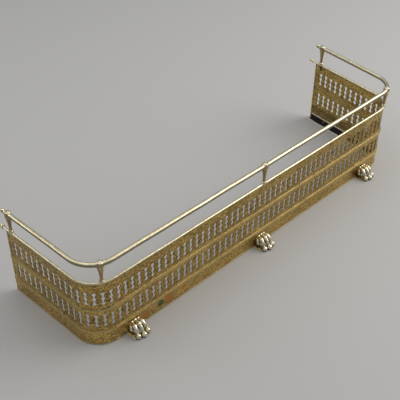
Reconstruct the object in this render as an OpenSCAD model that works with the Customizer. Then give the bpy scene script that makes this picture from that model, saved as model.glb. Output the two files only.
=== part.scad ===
// Brass fire fender: a pierced gallery bent round three sides of a hearth, with a beaded rim,
// a raised rail on five turned posts, an iron base angle and three paw feet.
// Millimetres, +Z up. The origin is on the floor, in the middle of the footprint.

/* [Gallery] */
// Width of the gallery across the front
front_w = 1200; // [1000:10:1500]
// Depth from the front's outer face to the rear end of the returns
return_depth = 322; // [260:1:420]
// Outer radius of the two front corners
corner_r = 75; // [60:1:110]
// Angle by which each return leans outwards from square, in degrees
splay_deg = 3.2; // [0:0.1:6]
// Thickness of the gallery sheet
sheet_t = 2; // [1.6:0.1:2.6]
// Height of the plain skirt under the lower ridge
skirt_h = 41; // [36:1:60]
// Height of one swaged ridge
ridge_h = 12; // [9:0.5:14]
// How far a ridge stands out from the sheet
ridge_out = 3.5; // [2.5:0.1:4.5]
// Plain space between a ridge and the slots next to it
slot_space = 10.5; // [6:0.1:16]
// Height of the plain band between the upper slots and the rim bead's centre
band_h = 31.5; // [28:0.1:50]
// Radius of the rolled hem along the bottom edge
hem_r = 2; // [1.5:0.1:2.5]
// Radius of the rolled hem down each rear edge
rear_hem_r = 2.5; // [1.6:0.1:3.5]

/* [Slots] */
// Distance from one slot to the next along the sheet
slot_pitch = 21.9; // [18:0.1:30]
// Diameter of each of the three round lobes in a slot
lobe_d = 10.6; // [8:0.1:12]
// Height from one lobe's centre to the next
lobe_step = 16.7; // [14:0.1:20]
// Width of the necks between the lobes
neck_w = 4.6; // [3.5:0.1:7]
// Plain strip left at the rear end of each return
end_strip = 18; // [12:1:40]
// Least distance from a slot's edge to a joint in the sheet
seam_margin = 3; // [2:0.5:6]

/* [Rim and rail] */
// Diameter of the bead on the sheet's top edge
rim_d = 7; // [6:0.1:9]
// Diameter of the upper rail
rail_d = 12.5; // [10:0.1:14]
// Height of the rail's centre above the rim bead's centre
rail_rise = 62; // [52:1:90]
// Distance that the rim bead runs on behind the sheet's rear ends
rim_tail = 14.5; // [8:0.5:24]
// Distance that the rail runs on behind the rear posts
rail_tail = 10; // [9.5:0.5:20]
// Radius of the ball at each rear end of the rail
rail_ball_r = 5.5; // [4:0.1:6.5]
// Radius of the ball at each rear end of the rim
rim_ball_r = 5; // [3.5:0.1:6.5]
// Distance from a collar's near face to its ball's centre
ball_reach = 11.5; // [11:0.5:18]
// Thickness of the collar under each ball
collar_t = 3; // [2:0.1:4]

/* [Posts] */
// Angle round the corner, from the front, at which the front posts stand
post_deg = 25; // [10:1:45]
// Distance of the rear posts from the rear end of the sheet
post_inset = 18; // [14:1:40]
// Radius of the barrel head that holds the rail
head_r = 9.2; // [8:0.1:11]
// Height of the barrel head
head_h = 15; // [14:0.5:20]
// Radius at the post's waist
waist_r = 3.7; // [3:0.1:5]
// Radius of the ball at the post's foot
foot_ball_r = 7; // [6:0.1:8]
// Height of the button on top of the head
button_h = 2.5; // [1:0.1:4]
// Width of the tang that hangs inside the sheet
tang_w = 8; // [6:0.5:12]
// Thickness of the tang
tang_t = 3.5; // [3.2:0.1:4]
// Length of the tang below the rim bead's centre
tang_l = 20; // [16:0.5:24]

/* [Base angle] */
// Thickness of the iron
iron_t = 3; // [2:0.1:4]
// Height of the upright leg
leg_h = 20; // [18:0.5:30]
// Width of the flat leg
leg_w = 18; // [14:0.5:30]
// How far the iron stops short of the sheet's rear end
iron_short = 5; // [4:0.5:20]

/* [Paw feet] */
// Distance of the outer feet from the corner's tangent point
foot_inset = 51; // [36:1:120]
// Overall width of a paw over its toes
paw_w = 45; // [40:1:56]
// Distance that a paw stands forward of the sheet
paw_reach = 47; // [42:1:60]
// Height of a paw where it meets the skirt
paw_h = 38; // [34:0.5:40.5]
// Number of toes on a paw
toe_n = 3; // [3:1:5]
// Radius of a toe's knuckle
toe_r = 6.6; // [5:0.1:7.5]
// Radius of the round claw pad at a toe's end
pad_r = 6.8; // [5.5:0.1:8]
// Angle between the outermost toes
toe_fan = 20; // [0:1:40]
// How far the outer toes stand back behind the middle ones
toe_back = 5; // [0:0.5:12]
// Radius of the short toe on each flank of a paw
flank_r = 6; // [4:0.1:7]
// Thickness of the plate under a paw
plate_t = 2.5; // [2:0.1:4]
// Width of the plate under a paw
plate_w = 54; // [46:1:66]
// Depth of the plate under a paw
plate_d = 32; // [24:1:40]

/* [Fixings] */
// Height of the rivets and screws that pass through the upright leg
fixing_z = 11.5; // [10:0.5:13]
// Number of base rivets between the middle foot and an outer foot
rivets_front = 2; // [1:1:4]
// Number of base rivets along a return
rivets_side = 2; // [1:1:4]
// Radius of a rivet's shank
rivet_r = 1.8; // [1.4:0.1:2.2]
// Radius of a rivet's domed head
rivet_head_r = 3.2; // [2.6:0.1:3.8]
// Thickness of a rivet's head
rivet_head_t = 1.2; // [0.8:0.1:1.6]
// Distance of the post rivets below the rim bead's centre
tang_rivet_drop = 13; // [11:0.5:14]
// Radius of a foot screw's shank
screw_r = 2.5; // [2:0.1:3]
// Radius of a foot screw's head
screw_head_r = 4.5; // [3.8:0.1:5]
// Height of a foot screw's head
screw_head_t = 3; // [2:0.1:4]
// Distance that a foot screw runs into the paw
screw_grip = 15; // [10:0.5:20]

/* [Hidden] */
$fn = 48;

fit = 0.12;      // clearance round anything that is seated in something else
joint_gap = 0.3; // gap between two rail lengths inside a post head

sheet_brass = [0.62, 0.50, 0.27];
bright_brass = [0.86, 0.77, 0.52];
cast_brass = [0.74, 0.66, 0.48];
black_iron = [0.12, 0.12, 0.12];

// Heights, stacked up from the floor
lobe_r = lobe_d / 2;
slot_h = 2 * (lobe_step + lobe_r);
ridge_low_z = skirt_h + ridge_h / 2;
row_low_z = skirt_h + ridge_h + slot_space + slot_h / 2;
ridge_high_z = row_low_z + slot_h / 2 + slot_space + ridge_h / 2;
row_high_z = ridge_high_z + ridge_h / 2 + slot_space + slot_h / 2;
rim_z = row_high_z + slot_h / 2 + band_h;
rail_z = rim_z + rail_rise;
rim_r = rim_d / 2;
rail_r = rail_d / 2;
sheet_seat = 0.5; // the sheet's top edge lies this far below the bead's centre
sheet_top = rim_z - sheet_seat;
tang_rivet_z = rim_z - tang_rivet_drop;

// Plan: the front runs along X, the corner turns, the return runs back
tangent_x = front_w / 2 - corner_r;
turn = 90 - splay_deg;
corner_l = corner_r * turn * PI / 180;
return_l = (return_depth - corner_r + corner_r * sin(splay_deg)) / cos(splay_deg);
mid_u = sheet_t / 2; // depth of the sheet's middle behind its outer face
post_a = return_l - post_inset;
rim_end = return_l + rim_tail;
rail_end = post_a + rail_tail;
foot_x = tangent_x - foot_inset;

// The footprint's middle, between the claws and the rim's rear balls
rear_y = corner_r - (corner_r - mid_u) * sin(splay_deg)
       + (rim_end + ball_reach) * cos(splay_deg) + rim_ball_r;
mid_y = (rear_y - paw_reach) / 2;

ridge_r = (ridge_h * ridge_h / 4 + ridge_out * ridge_out) / (2 * ridge_out);
ridge_u = ridge_r - ridge_out; // a ridge's centre lies this far behind the outer face
iron_u = sheet_t + iron_t;     // depth of the upright leg's inner face

// ---- placing ----

// Moves the whole fender so that its footprint is centred on the origin
module place() {
    translate([0, -mid_y, 0])
        children();
}

// The left side is the right side's mirror image
module hand(left) {
    mirror([left ? 1 : 0, 0, 0])
        children();
}

// A spot on the right corner: X along the sheet, Y inwards
module at_corner(deg) {
    translate([tangent_x, corner_r, 0])
        rotate([0, 0, deg])
            translate([0, -corner_r, 0])
                children();
}

// The rear end of the right corner's curve, seen from its centre: X outwards, Y back along the return
module at_rear_tangent() {
    translate([tangent_x, corner_r, 0])
        rotate([0, 0, -splay_deg])
            children();
}

// A spot on the right return, a millimetres behind the corner: X along the sheet, Y inwards
module at_return(a) {
    at_rear_tangent()
        translate([corner_r, a, 0])
            rotate([0, 0, 90])
                children();
}

// Carries a section (X inwards, Y up) along the front
module run_front(x0, x1) {
    translate([x0, 0, 0])
        rotate([90, 0, 90])
            linear_extrude(x1 - x0)
                children();
}

// Carries a section round the right corner, from the front towards the return
module run_corner(deg0, deg1) {
    translate([tangent_x, corner_r, 0])
        rotate([0, 0, deg0 - 90])
            rotate_extrude(angle = deg1 - deg0)
                translate([corner_r, 0])
                    mirror([1, 0])
                        children();
}

// Carries a section round the right corner and on along the return, as one bent length:
// it takes in the last deg degrees of the corner and the first a millimetres of the return
module run_side(deg, a) {
    at_rear_tangent() {
        mirror([0, 1, 0])
            rotate_extrude(angle = deg)
                translate([corner_r, 0])
                    mirror([1, 0])
                        children();
        translate([corner_r, a, 0])
            rotate([90, 0, 0])
                linear_extrude(a)
                    mirror([1, 0])
                        children();
    }
}

// ---- gallery sheet ----

module ridge_outside(z) {
    translate([ridge_u, z])
        circle(r = ridge_r);
}

module ridge_inside(z) {
    translate([ridge_u, z])
        circle(r = ridge_r - sheet_t);
}

// Section of the sheet: flat, with two swaged ridges and a rolled bottom hem
module sheet_section() {
    difference() {
        union() {
            square([sheet_t, sheet_top]);
            intersection() {
                union() {
                    ridge_outside(ridge_low_z);
                    ridge_outside(ridge_high_z);
                }
                translate([-ridge_out - 1, 0])
                    square([ridge_out + 1 + sheet_t, sheet_top]);
            }
            translate([0, hem_r])
                circle(r = hem_r);
        }
        ridge_inside(ridge_low_z);
        ridge_inside(ridge_high_z);
    }
}

// One slot: three round lobes joined by two necks, centred on its middle lobe
module slot_outline() {
    for (i = [-1:1])
        translate([0, i * lobe_step])
            circle(r = lobe_r);
    translate([-neck_w / 2, -lobe_step])
        square([neck_w, 2 * lobe_step]);
}

// The two slots above each other at one place along the sheet
module slot_pair() {
    for (z = [row_low_z, row_high_z])
        translate([0, z])
            slot_outline();
}

// Turns an outline on the sheet's face into a cutter that goes right through it
module through_sheet() {
    translate([0, 2 * sheet_t, 0])
        rotate([90, 0, 0])
            linear_extrude(3 * sheet_t)
                children();
}

// Slots lie half a pitch either side of the middle and go on at one pitch all the way round
function slot_s(k) = (k + 0.5) * slot_pitch;
function clear_of(s, seam) = abs(s - seam) > lobe_r + seam_margin;
slot_last = floor((tangent_x + corner_l + return_l) / slot_pitch);
slot_all = [for (k = [0:slot_last]) slot_s(k)];
slots_front = [for (s = slot_all) if (s < tangent_x && clear_of(s, tangent_x)) s];
slots_corner = [for (s = slot_all)
    if (s > tangent_x && s <= tangent_x + corner_l && clear_of(s, tangent_x)) s - tangent_x];
slots_return = [for (s = slot_all)
    if (s > tangent_x + corner_l && s < tangent_x + corner_l + return_l - end_strip - lobe_r)
        s - tangent_x - corner_l];

// A hole through the sheet and whatever lies behind it
module fixing_hole(r, z, depth) {
    translate([0, -ridge_out, z])
        rotate([-90, 0, 0])
            cylinder(r = r, h = depth + ridge_out);
}

module gallery_front() {
    color(sheet_brass)
        place()
            difference() {
                run_front(-tangent_x, tangent_x)
                    sheet_section();
                through_sheet()
                    for (s = slots_front, side = [-1, 1])
                        translate([side * s, 0])
                            slot_pair();
                front_base_holes(sheet_t + 1);
                fixing_hole(rivet_r + fit, tang_rivet_z, sheet_t + 1);
            }
}

module gallery_side() {
    difference() {
        union() {
            run_side(turn, return_l)
                sheet_section();
            at_return(return_l)
                translate([0, mid_u, 0])
                    cylinder(r = rear_hem_r, h = rim_z - rim_r - fit);
        }
        for (s = slots_corner)
            at_corner(s / corner_r * 180 / PI)
                through_sheet()
                    slot_pair();
        for (a = slots_return)
            at_return(a)
                through_sheet()
                    slot_pair();
        side_base_holes(sheet_t + 1);
        for_side_posts()
            fixing_hole(rivet_r + fit, tang_rivet_z, sheet_t + 1);
    }
}

module gallery_left() {
    color(sheet_brass)
        place()
            hand(true)
                gallery_side();
}

module gallery_right() {
    color(sheet_brass)
        place()
            gallery_side();
}

// ---- rim bead ----

module bead_section() {
    translate([mid_u, rim_z])
        circle(r = rim_r);
}

// Round bead with a groove underneath that sits over the sheet's top edge
module rim_section() {
    difference() {
        bead_section();
        translate([-fit, rim_z - rim_d])
            square([sheet_t + 2 * fit, rim_d - sheet_seat + fit]);
    }
}

module rim_front() {
    color(bright_brass)
        place()
            run_front(-tangent_x, tangent_x)
                rim_section();
}

// The bead runs on past the sheet, without the groove
module rim_side() {
    run_side(turn, return_l + rear_hem_r)
        rim_section();
    at_rear_tangent()
        translate([corner_r, rim_end, 0])
            rotate([90, 0, 0])
                linear_extrude(rim_tail - rear_hem_r)
                    mirror([1, 0])
                        bead_section();
}

module rim_left() {
    color(bright_brass)
        place()
            hand(true)
                rim_side();
}

module rim_right() {
    color(bright_brass)
        place()
            rim_side();
}

// ---- upper rail ----

module rail_section(r) {
    translate([mid_u, rail_z])
        circle(r = r);
}

gap_deg = joint_gap / 2 / corner_r * 180 / PI;

module rail_front_half() {
    run_front(joint_gap / 2, tangent_x)
        rail_section(rail_r);
    run_corner(0, post_deg - gap_deg)
        rail_section(rail_r);
}

module rail_side() {
    run_side(turn - post_deg - gap_deg, rail_end)
        rail_section(rail_r);
}

module rail_front_left() {
    color(bright_brass)
        place()
            hand(true)
                rail_front_half();
}

module rail_front_right() {
    color(bright_brass)
        place()
            rail_front_half();
}

module rail_left() {
    color(bright_brass)
        place()
            hand(true)
                rail_side();
}

module rail_right() {
    color(bright_brass)
        place()
            rail_side();
}

// ---- turned posts ----

head_top = rail_rise + head_h / 2;
head_base = rail_rise - head_h / 2;
neck_top = head_base - 3;          // the stem meets the collar under the head
stem_base = foot_ball_r + 3;       // the stem starts just above the foot ball
waist_z = stem_base + (neck_top - stem_base) * 0.12;
stem_steps = 9;
neck_r = head_r - 1; // the stem flares like a trumpet up to this radius

// Eases from one radius to another between two heights
function eased(z, z0, z1, r0, r1) = r0 + (r1 - r0) * (1 - cos(180 * (z - z0) / (z1 - z0))) / 2;
function stem_r(z) = z < waist_z
    ? eased(z, stem_base, waist_z, waist_r + 1.6, waist_r)
    : waist_r + (neck_r - waist_r) * pow((z - waist_z) / (neck_top - waist_z), 1.4);
stem_points = [for (i = [0:stem_steps])
    let (z = stem_base + (neck_top - stem_base) * i / stem_steps) [stem_r(z), z]];

// Half outline of the post above the foot ball, from its axis outwards
module post_outline() {
    polygon(concat(
        [[0, 0], [waist_r, 0], [waist_r + 1.6, stem_base - 1]],
        stem_points,
        [
            [head_r - 0.3, neck_top + 0.6],
            [head_r - 0.3, neck_top + 1.8],
            [head_r - 1.2, head_base - 0.4],
            [head_r - 0.7, head_base],
            [head_r, head_base + 2],
            [head_r, head_top - 2],
            [head_r - 1.2, head_top - 0.4],
            [head_r - 3.5, head_top + 0.4],
            [head_r * 0.35, head_top + button_h * 0.5],
            [head_r * 0.3, head_top + button_h * 0.85],
            [0, head_top + button_h]
        ]
    ));
}

// A whole post at the origin of its own spot, before it is fitted to the rim, sheet and rail
module post_blank() {
    translate([0, mid_u, rim_z]) {
        rotate_extrude()
            post_outline();
        translate([0, 0, rim_r])
            sphere(r = foot_ball_r);
    }
    translate([-tang_w / 2, sheet_t + fit, rim_z - tang_l])
        cube([tang_w, tang_t, tang_l + rim_r]);
}

// What a post must leave clear: the rim bead and the sheet below it
module seat_section() {
    translate([mid_u, rim_z])
        circle(r = rim_r + fit);
    translate([-fit, 0])
        square([sheet_t + 2 * fit, rim_z]);
}

post_hole_depth = sheet_t + fit + tang_t + 1;

module post_middle() {
    color(bright_brass)
        place()
            difference() {
                post_blank();
                run_front(-2 * head_r, 2 * head_r) {
                    seat_section();
                    rail_section(rail_r + fit);
                }
                fixing_hole(rivet_r + fit, tang_rivet_z, post_hole_depth);
            }
}

module post_front() {
    difference() {
        at_corner(post_deg)
            post_blank();
        run_corner(0, 2 * post_deg) {
            seat_section();
            rail_section(rail_r + fit);
        }
        at_corner(post_deg)
            fixing_hole(rivet_r + fit, tang_rivet_z, post_hole_depth);
    }
}

module post_rear() {
    difference() {
        at_return(post_a)
            post_blank();
        run_side(turn, return_l + head_r) {
            seat_section();
            rail_section(rail_r + fit);
        }
        at_return(post_a)
            fixing_hole(rivet_r + fit, tang_rivet_z, post_hole_depth);
    }
}

// Puts its children at both posts on the right side
module for_side_posts() {
    at_corner(post_deg)
        children();
    at_return(post_a)
        children();
}

module post_front_left() {
    color(bright_brass)
        place()
            hand(true)
                post_front();
}

module post_front_right() {
    color(bright_brass)
        place()
            post_front();
}

module post_rear_left() {
    color(bright_brass)
        place()
            hand(true)
                post_rear();
}

module post_rear_right() {
    color(bright_brass)
        place()
            post_rear();
}

// ---- balls on the ends of the rim and rail ----

function collar_r(ball_r) = ball_r + 0.8;

// A turned collar, neck and ball along +X from its near face
module finial(ball_r) {
    rotate([90, 0, 90])
        rotate_extrude()
            polygon([
                [0, 0],
                [collar_r(ball_r) - 0.6, 0],
                [collar_r(ball_r), 0.6],
                [collar_r(ball_r), collar_t - 0.6],
                [collar_r(ball_r) - 0.6, collar_t],
                [ball_r * 0.5, collar_t + 1.5],
                [ball_r * 0.5, ball_reach],
                [0, ball_reach]
            ]);
    translate([ball_reach, 0, 0])
        sphere(r = ball_r);
}

module rim_finial() {
    at_return(rim_end)
        translate([0, mid_u, rim_z])
            finial(rim_ball_r);
}

module rail_finial() {
    at_return(rail_end)
        translate([0, mid_u, rail_z])
            finial(rail_ball_r);
}

module rim_finial_left() {
    color(bright_brass)
        place()
            hand(true)
                rim_finial();
}

module rim_finial_right() {
    color(bright_brass)
        place()
            rim_finial();
}

module rail_finial_left() {
    color(bright_brass)
        place()
            hand(true)
                rail_finial();
}

module rail_finial_right() {
    color(bright_brass)
        place()
            rail_finial();
}

// ---- iron base angle ----

module angle_section() {
    translate([sheet_t, 0])
        square([iron_t, leg_h]);
    translate([sheet_t, 0])
        square([leg_w, iron_t]);
}

module base_angle_front() {
    color(black_iron)
        place()
            difference() {
                run_front(-tangent_x, tangent_x)
                    angle_section();
                front_base_holes(iron_u + 1);
            }
}

module base_angle_side() {
    difference() {
        run_side(turn, return_l - iron_short)
            angle_section();
        side_base_holes(iron_u + 1);
    }
}

module base_angle_left() {
    color(black_iron)
        place()
            hand(true)
                base_angle_side();
}

module base_angle_right() {
    color(black_iron)
        place()
            base_angle_side();
}

// ---- paw feet ----

toe_step = (paw_w - 2 * pad_r) / (toe_n - 1);
function toe_side(i) = i - (toe_n - 1) / 2; // -1, 0, 1 for three toes
function toe_deg(i) = toe_side(i) / (toe_n - 1) * toe_fan;
root_r = toe_r - 0.6;
root_z = paw_h - root_r;
heel_y = -4;
pad_y = pad_r - paw_reach;
knuckle_z = paw_h * 0.75;
knuckle_at = 0.48; // how far out the knuckle stands, as a share of the pad's reach
// The outer toes' pads stand back in a curve
function toe_pad_y(i) = pad_y + toe_back * pow(abs(toe_side(i)) / ((toe_n - 1) / 2), 2);

// One toe: from its root at the skirt, over the knuckle, down towards its claw pad
module toe(i) {
    x = toe_side(i) * toe_step;
    y = toe_pad_y(i);
    lean = tan(toe_deg(i)) * (heel_y - y);
    hull() {
        translate([x - lean, heel_y, root_z])
            sphere(r = root_r, $fn = 20);
        translate([x - lean * 0.45, y * knuckle_at, knuckle_z])
            sphere(r = toe_r, $fn = 20);
    }
    hull() {
        translate([x - lean * 0.45, y * knuckle_at, knuckle_z])
            sphere(r = toe_r, $fn = 20);
        translate([x - lean * 0.12, y * 0.85, paw_h * 0.3])
            sphere(r = toe_r * 0.88, $fn = 20);
    }
}

// The solid of the paw under and between the toes
module paw_core() {
    core_x = paw_w / 2 - pad_r - 2;
    hull() {
        for (side = [-1, 1]) {
            translate([side * core_x * 0.75, heel_y, root_z - 4])
                sphere(r = root_r, $fn = 20);
            translate([side * core_x * 0.8, heel_y, root_r])
                sphere(r = root_r, $fn = 20);
            translate([side * core_x, toe_pad_y(0) * 0.8, root_r])
                sphere(r = root_r, $fn = 20);
        }
    }
}

// A short toe close to the skirt on one flank, which stays off the floor
module flank_toe(side) {
    x = paw_w / 2 - flank_r + 1;
    hull() {
        translate([side * (x - 4), heel_y, paw_h * 0.62])
            sphere(r = flank_r * 0.8, $fn = 20);
        translate([side * x, heel_y - 5, paw_h * 0.34])
            sphere(r = flank_r, $fn = 20);
    }
}

module paw() {
    difference() {
        union() {
            paw_core();
            for (side = [-1, 1])
                flank_toe(side);
            for (i = [0:toe_n - 1]) {
                toe(i);
                translate([toe_side(i) * toe_step, toe_pad_y(i), pad_r])
                    sphere(r = pad_r, $fn = 20);
            }
            translate([-plate_w / 2, -plate_d, 0])
                cube([plate_w, plate_d, plate_t]);
        }
        // Flat back against the skirt, with a rebate for the rolled hem
        translate([-paw_w, 0, -paw_h])
            cube([2 * paw_w, paw_h, 3 * paw_h]);
        translate([-paw_w, -hem_r - fit, -1])
            cube([2 * paw_w, paw_h, 2 * hem_r + fit + 1]);
        // Flat sole on the floor
        translate([-paw_w, -2 * paw_reach, -paw_h])
            cube([2 * paw_w, 3 * paw_reach, paw_h]);
        translate([0, -screw_grip - fit, fixing_z])
            rotate([-90, 0, 0])
                cylinder(r = screw_r + fit, h = screw_grip + 2);
    }
}

module foot_left() {
    color(cast_brass)
        place()
            translate([-foot_x, 0, 0])
                paw();
}

module foot_middle() {
    color(cast_brass)
        place()
            paw();
}

module foot_right() {
    color(cast_brass)
        place()
            translate([foot_x, 0, 0])
                paw();
}

// ---- fixings ----

// Rivets lie evenly between the middle foot and each outer foot
rivet_xs = [for (i = [1:rivets_front], side = [-1, 1]) side * foot_x * i / (rivets_front + 1)];
rivet_as = [for (i = [0:rivets_side - 1]) return_l * (i + 0.5) / rivets_side];

module front_base_holes(depth) {
    for (x = rivet_xs)
        translate([x, 0, 0])
            fixing_hole(rivet_r + fit, fixing_z, depth);
    for (x = [-foot_x, 0, foot_x])
        translate([x, 0, 0])
            fixing_hole(screw_r + fit, fixing_z, depth);
}

module side_base_holes(depth) {
    for (a = rivet_as)
        at_return(a)
            fixing_hole(rivet_r + fit, fixing_z, depth);
}

// A rivet along +Y through a stack of the given thickness, with a low dome at each end
module rivet(stack) {
    rotate([-90, 0, 0]) {
        cylinder(r = rivet_r, h = stack);
        translate([0, 0, stack])
            cylinder(r1 = rivet_head_r, r2 = rivet_head_r * 0.6, h = rivet_head_t);
        translate([0, 0, -rivet_head_t])
            cylinder(r1 = rivet_head_r * 0.6, r2 = rivet_head_r, h = rivet_head_t);
    }
}

module post_rivet() {
    translate([0, 0, tang_rivet_z])
        rivet(sheet_t + fit + tang_t);
}

module post_rivets() {
    color(sheet_brass)
        place() {
            post_rivet();
            for (left = [false, true])
                hand(left)
                    for_side_posts()
                        post_rivet();
        }
}

module base_rivets() {
    color(sheet_brass)
        place() {
            for (x = rivet_xs)
                translate([x, 0, fixing_z])
                    rivet(iron_u);
            for (left = [false, true], a = rivet_as)
                hand(left)
                    at_return(a)
                        translate([0, 0, fixing_z])
                            rivet(iron_u);
        }
}

// A slotted screw whose head lies on the upright leg inside, with its shank in the paw
module foot_screw() {
    translate([0, 0, fixing_z])
        rotate([-90, 0, 0]) {
            translate([0, 0, -screw_grip])
                cylinder(r = screw_r, h = screw_grip + iron_u);
            translate([0, 0, iron_u])
                difference() {
                    cylinder(r1 = screw_head_r, r2 = screw_head_r * 0.8, h = screw_head_t);
                    translate([-screw_head_r, -0.5, screw_head_t * 0.5])
                        cube([2 * screw_head_r, 1, screw_head_t]);
                }
        }
}

module foot_screws() {
    color(black_iron)
        place()
            for (x = [-foot_x, 0, foot_x])
                translate([x, 0, 0])
                    foot_screw();
}

gallery_front();
gallery_left();
gallery_right();
rim_front();
rim_left();
rim_right();
rail_front_left();
rail_front_right();
rail_left();
rail_right();
post_rear_left();
post_front_left();
post_middle();
post_front_right();
post_rear_right();
rim_finial_left();
rim_finial_right();
rail_finial_left();
rail_finial_right();
base_angle_front();
base_angle_left();
base_angle_right();
foot_left();
foot_middle();
foot_right();
post_rivets();
base_rivets();
foot_screws();
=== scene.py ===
import bpy
import bmesh
import random
from math import acos, asin, cos, degrees, exp, hypot, pi, radians, sin, sqrt, tan
from mathutils import Matrix, Vector


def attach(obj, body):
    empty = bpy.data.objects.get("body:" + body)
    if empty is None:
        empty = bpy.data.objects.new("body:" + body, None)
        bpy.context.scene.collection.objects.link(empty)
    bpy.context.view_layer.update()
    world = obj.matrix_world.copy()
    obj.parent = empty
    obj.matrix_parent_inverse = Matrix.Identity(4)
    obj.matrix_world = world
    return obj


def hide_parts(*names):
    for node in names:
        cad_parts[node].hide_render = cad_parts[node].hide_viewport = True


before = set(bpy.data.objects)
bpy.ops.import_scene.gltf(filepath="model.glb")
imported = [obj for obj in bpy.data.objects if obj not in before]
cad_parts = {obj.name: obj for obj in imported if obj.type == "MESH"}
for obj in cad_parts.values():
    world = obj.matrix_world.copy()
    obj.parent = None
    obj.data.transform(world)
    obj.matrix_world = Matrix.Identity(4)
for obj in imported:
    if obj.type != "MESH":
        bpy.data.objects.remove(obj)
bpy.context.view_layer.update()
mm = 0.001
upward = Vector((0, 0, 1))
scene = bpy.context.scene
print("frame loaded,", len(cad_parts), "nodes")

# The bent plan and the heights that every piece hangs on, in millimetres
plan = {
    "frontWidth": 1200.0,
    "returnDepth": 322.0,
    "cornerRadius": 75.0,
    "splay": 3.2,
    "sheet": 2.0,
    "rimZ": 216.0,
    "railZ": 278.0,
    "rimTail": 14.5,
    "railTail": 10.0,
    "ballReach": 11.5,
    "rimBall": 5.0,
    "railBall": 5.5,
    "postAngle": 25.0,
    "postInset": 18.0,
    "footX": 474.0,
    "pawReach": 47.0,
    "gap": 0.12,
}

rimZ, railZ, sheet = plan["rimZ"], plan["railZ"], plan["sheet"]
midU = sheet / 2
cornerRadius = plan["cornerRadius"]
tangentX = plan["frontWidth"] / 2 - cornerRadius
splay = radians(plan["splay"])
turn = pi / 2 - splay
cornerLength = cornerRadius * turn
returnLength = (plan["returnDepth"] - cornerRadius * (1 - sin(splay))) / cos(splay)
returnStart = tangentX + cornerLength
sheetEnd = returnStart + returnLength
postFrontS = tangentX + radians(plan["postAngle"]) * cornerRadius
postRearS = sheetEnd - plan["postInset"]
railEnd = postRearS + plan["railTail"]
rimEnd = sheetEnd + plan["rimTail"]

# The footprint's middle, between the paws' claws and the rim's rear balls
rearReach = returnLength + plan["rimTail"] + plan["ballReach"]
rearY = cornerRadius - (cornerRadius - midU) * sin(splay) + rearReach * cos(splay)
middleY = (rearY + plan["rimBall"] - plan["pawReach"]) / 2


# Where the outer face is at a distance s along the fender from the middle of the front,
# with the run's direction there and the direction inwards
def station(s):
    side = -1.0 if s < 0 else 1.0
    d = abs(s)
    angle = min(max(0.0, (d - tangentX) / cornerRadius), turn)
    back = max(0.0, d - returnStart)
    x = min(d, tangentX) + cornerRadius * sin(angle) + back * cos(turn)
    y = cornerRadius - cornerRadius * cos(angle) + back * sin(turn)
    run = Vector((cos(angle), side * sin(angle), 0.0))
    inward = Vector((-side * sin(angle), cos(angle), 0.0))
    return Vector((side * x, y - middleY, 0.0)), run, inward


# A point at s along the fender, z up and u in from the outer face, in metres
def spot(s, z, u):
    outer, run, inward = station(s)
    return (outer + inward * u + upward * z) * mm


# Numbers from one to another in even steps
def even(start, end, steps):
    return [start + (end - start) * i / steps for i in range(steps + 1)]


# Distances from start to end, about a step apart
def spaced(start, end, step):
    return even(start, end, max(2, round((end - start) / step)))


# Angles all the way round
def circle(sides):
    return even(0.0, 2 * pi, sides)[:-1]


# Part of a circle round a centre on the axis, as radii and heights, or of a dome of another height
def arc(centre, radius, start, end, steps, dome=None):
    return [(radius * cos(angle), centre + (dome or radius) * sin(angle))
            for angle in map(radians, even(start, end, steps))]


# Holds a value between 0 and 1
def limited(value):
    return min(1.0, max(0.0, value))


# Stretches of a part that goes round to a distance from the middle of the front
def lengths(end):
    return (("front", -tangentX, tangentX), ("left", -end, -tangentX), ("right", tangentX, end))


# A smooth value from -1 to 1 that wanders along s, the same each run
def wander(s, seed, length):
    total = 0.0
    for i in range(4):
        phase = seed * 1.7 + i * 2.3
        total += sin(s * 2 * pi / (length * (0.55 + 0.31 * i)) + phase * (i + 1))
    return total / 4


# A node's output, which takes part in sums as a number does
class Wire:
    def __init__(self, finish, socket):
        self.finish = finish
        self.socket = socket

    def sum(self, operation, first, second):
        return self.finish.add("Math", {"operation": operation}, {0: first, 1: second})

    def __add__(self, other):
        return self.sum("ADD", self, other)

    def __radd__(self, other):
        return self.sum("ADD", other, self)

    def __sub__(self, other):
        return self.sum("SUBTRACT", self, other)

    def __rsub__(self, other):
        return self.sum("SUBTRACT", other, self)

    def __mul__(self, other):
        return self.sum("MULTIPLY", self, other)

    def __rmul__(self, other):
        return self.sum("MULTIPLY", other, self)


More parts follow.
